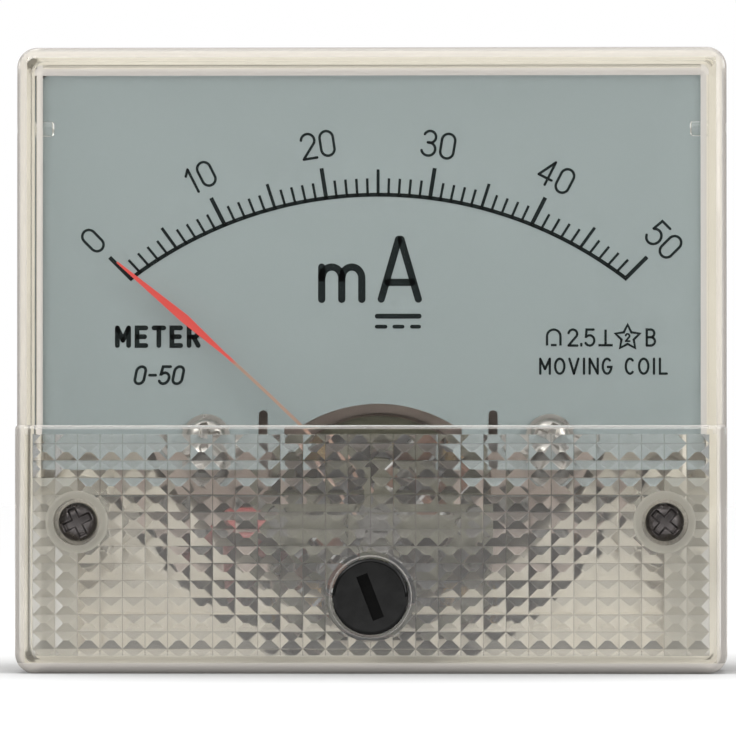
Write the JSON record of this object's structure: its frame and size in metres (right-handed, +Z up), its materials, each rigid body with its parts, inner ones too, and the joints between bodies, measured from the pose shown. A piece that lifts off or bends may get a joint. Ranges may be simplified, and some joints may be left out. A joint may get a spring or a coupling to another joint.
{
  "type": "analog panel meter",
  "caption": "Moving-coil panel meter with a clear cover, patterned lower band, 0 to 50 mA dial, red pointer, zero adjuster and round rear barrel with terminals.",
  "frame": {"origin": "centre of the barrel, on the plane where the flange bears on the panel", "axes": "front looks along -Y, barrel and studs point along +Y, up is +Z, +X is to the viewer's right"},
  "size_m": [0.064, 0.0573, 0.0564],
  "materials": {
    "aluminium": "satin",
    "beige_plastic": "moulded beige plastic",
    "black_plastic": "moulded black plastic",
    "black_wire": "black insulation",
    "bobbin_plastic": "moulded natural plastic",
    "brass": "turned brass",
    "bronze": "rolled bronze strip",
    "cast_metal": "die cast",
    "clear_plastic": "clear moulded plastic, polished outside",
    "copper": "enamelled copper wire",
    "dial_paint": "flat grey-blue print on aluminium",
    "magnet": "ground magnet alloy",
    "nickel": "dull nickel plate",
    "red_paint": "red lacquer on a drawn aluminium tube and blade",
    "red_wire": "red insulation",
    "soft_iron": "machined iron",
    "steel": "bright steel",
    "tin": "tinned brass"
  },
  "bodies": {
    "case": {"front_cover": "clear_plastic", "rear_housing": "beige_plastic", "cover_screws": "nickel", "mounting_studs": "steel", "dial_plate": "dial_paint", "dial_screws": "nickel", "dial_washers": "nickel", "movement_bracket": "cast_metal", "bracket_screws": "steel", "yoke_ring": "soft_iron", "core_magnet": "magnet", "front_core_holder": "brass", "rear_core_holder": "brass", "front_posts": "brass", "rear_posts": "brass", "front_bridge": "brass", "rear_bridge": "brass", "bridge_screws": "steel", "front_bearing_screw": "steel", "rear_bearing_screw": "steel", "bearing_nuts": "brass", "rear_spring_tab": "brass", "front_hairspring": "bronze", "rear_hairspring": "bronze", "shunt_bobbin": "bobbin_plastic", "shunt_winding": "copper", "terminal_studs": "brass", "terminal_washers": "tin", "terminal_inner_nuts": "brass", "solder_lugs": "tin", "terminal_outer_nuts": "brass", "red_lead": "red_wire", "black_lead": "black_wire"},
    "moving_coil": {"coil_former": "aluminium", "coil_winding": "copper", "front_staff": "steel", "rear_staff": "steel", "pointer": "red_paint", "balance_cross": "aluminium", "balance_weights": "brass"},
    "zero_adjuster": {"zero_adjuster": "black_plastic", "adjuster_retainer": "steel"},
    "zero_lever": {"zero_lever": "brass"}
  },
  "joints": [
    {"name": "pointer_swing", "type": "hinge", "parent": "case", "child": "moving_coil", "pos_m": [0.00045, 0, -0.0125], "axis": [0, 1, 0], "range_deg": [-3, 93], "stiffness_Nm_per_rad": 0.000005, "deforming": ["front_hairspring", "rear_hairspring"]},
    {"name": "zero_adjuster_turn", "type": "hinge", "parent": "case", "child": "zero_adjuster", "pos_m": [0, 0, -0.0188], "axis": [0, 1, 0], "range_deg": [-35, 35]},
    {"name": "zero_lever_swing", "type": "hinge", "parent": "case", "child": "zero_lever", "pos_m": [0.00045, 0, -0.0125], "axis": [0, 1, 0], "range_deg": [-8, 8]}
  ],
  "couplings": [
    {"joint": "zero_lever_swing", "follows": "zero_adjuster_turn", "ratio": -0.222}
  ]
}
